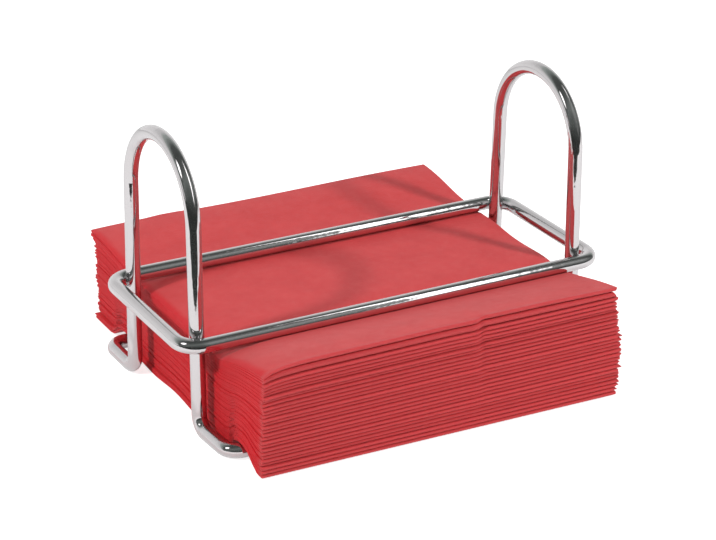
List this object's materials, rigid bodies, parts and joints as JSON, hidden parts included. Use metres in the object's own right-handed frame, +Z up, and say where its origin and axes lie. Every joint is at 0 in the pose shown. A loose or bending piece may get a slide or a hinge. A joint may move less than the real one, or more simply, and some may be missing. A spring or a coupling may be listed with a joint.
{
  "type": "napkin holder",
  "caption": "Table napkin holder of bent chromed wire: an arched stand, a loose wire frame that slides down over the arches, and the stack of folded paper napkins it presses.",
  "frame": {"origin": "middle of the stand's four feet, on the table", "axes": "+X along the base rails from one arch to the other, +Y to the back, +Z up"},
  "size_m": [0.196, 0.1716, 0.1168],
  "materials": {
    "chrome_wire": "polished",
    "red_paper": "matte"
  },
  "bodies": {
    "stand": {"stand_wire_left": "chrome_wire", "stand_wire_right": "chrome_wire", "napkin_01": "red_paper", "napkin_02": "red_paper", "napkin_03": "red_paper", "napkin_04": "red_paper", "napkin_05": "red_paper", "napkin_06": "red_paper", "napkin_07": "red_paper", "napkin_08": "red_paper", "napkin_09": "red_paper", "napkin_10": "red_paper", "napkin_11": "red_paper", "napkin_12": "red_paper", "napkin_13": "red_paper", "napkin_14": "red_paper", "napkin_15": "red_paper", "napkin_16": "red_paper", "napkin_17": "red_paper", "napkin_18": "red_paper", "napkin_19": "red_paper", "napkin_20": "red_paper", "napkin_21": "red_paper", "napkin_22": "red_paper", "napkin_23": "red_paper", "napkin_24": "red_paper", "napkin_25": "red_paper", "napkin_26": "red_paper", "napkin_27": "red_paper", "napkin_28": "red_paper"},
    "press_frame": {"press_frame": "chrome_wire"}
  },
  "joints": [
    {"name": "press_frame_slide", "type": "slide", "parent": "stand", "child": "press_frame", "axis": [0, 0, 1], "range_m": [0, 0.085]}
  ]
}
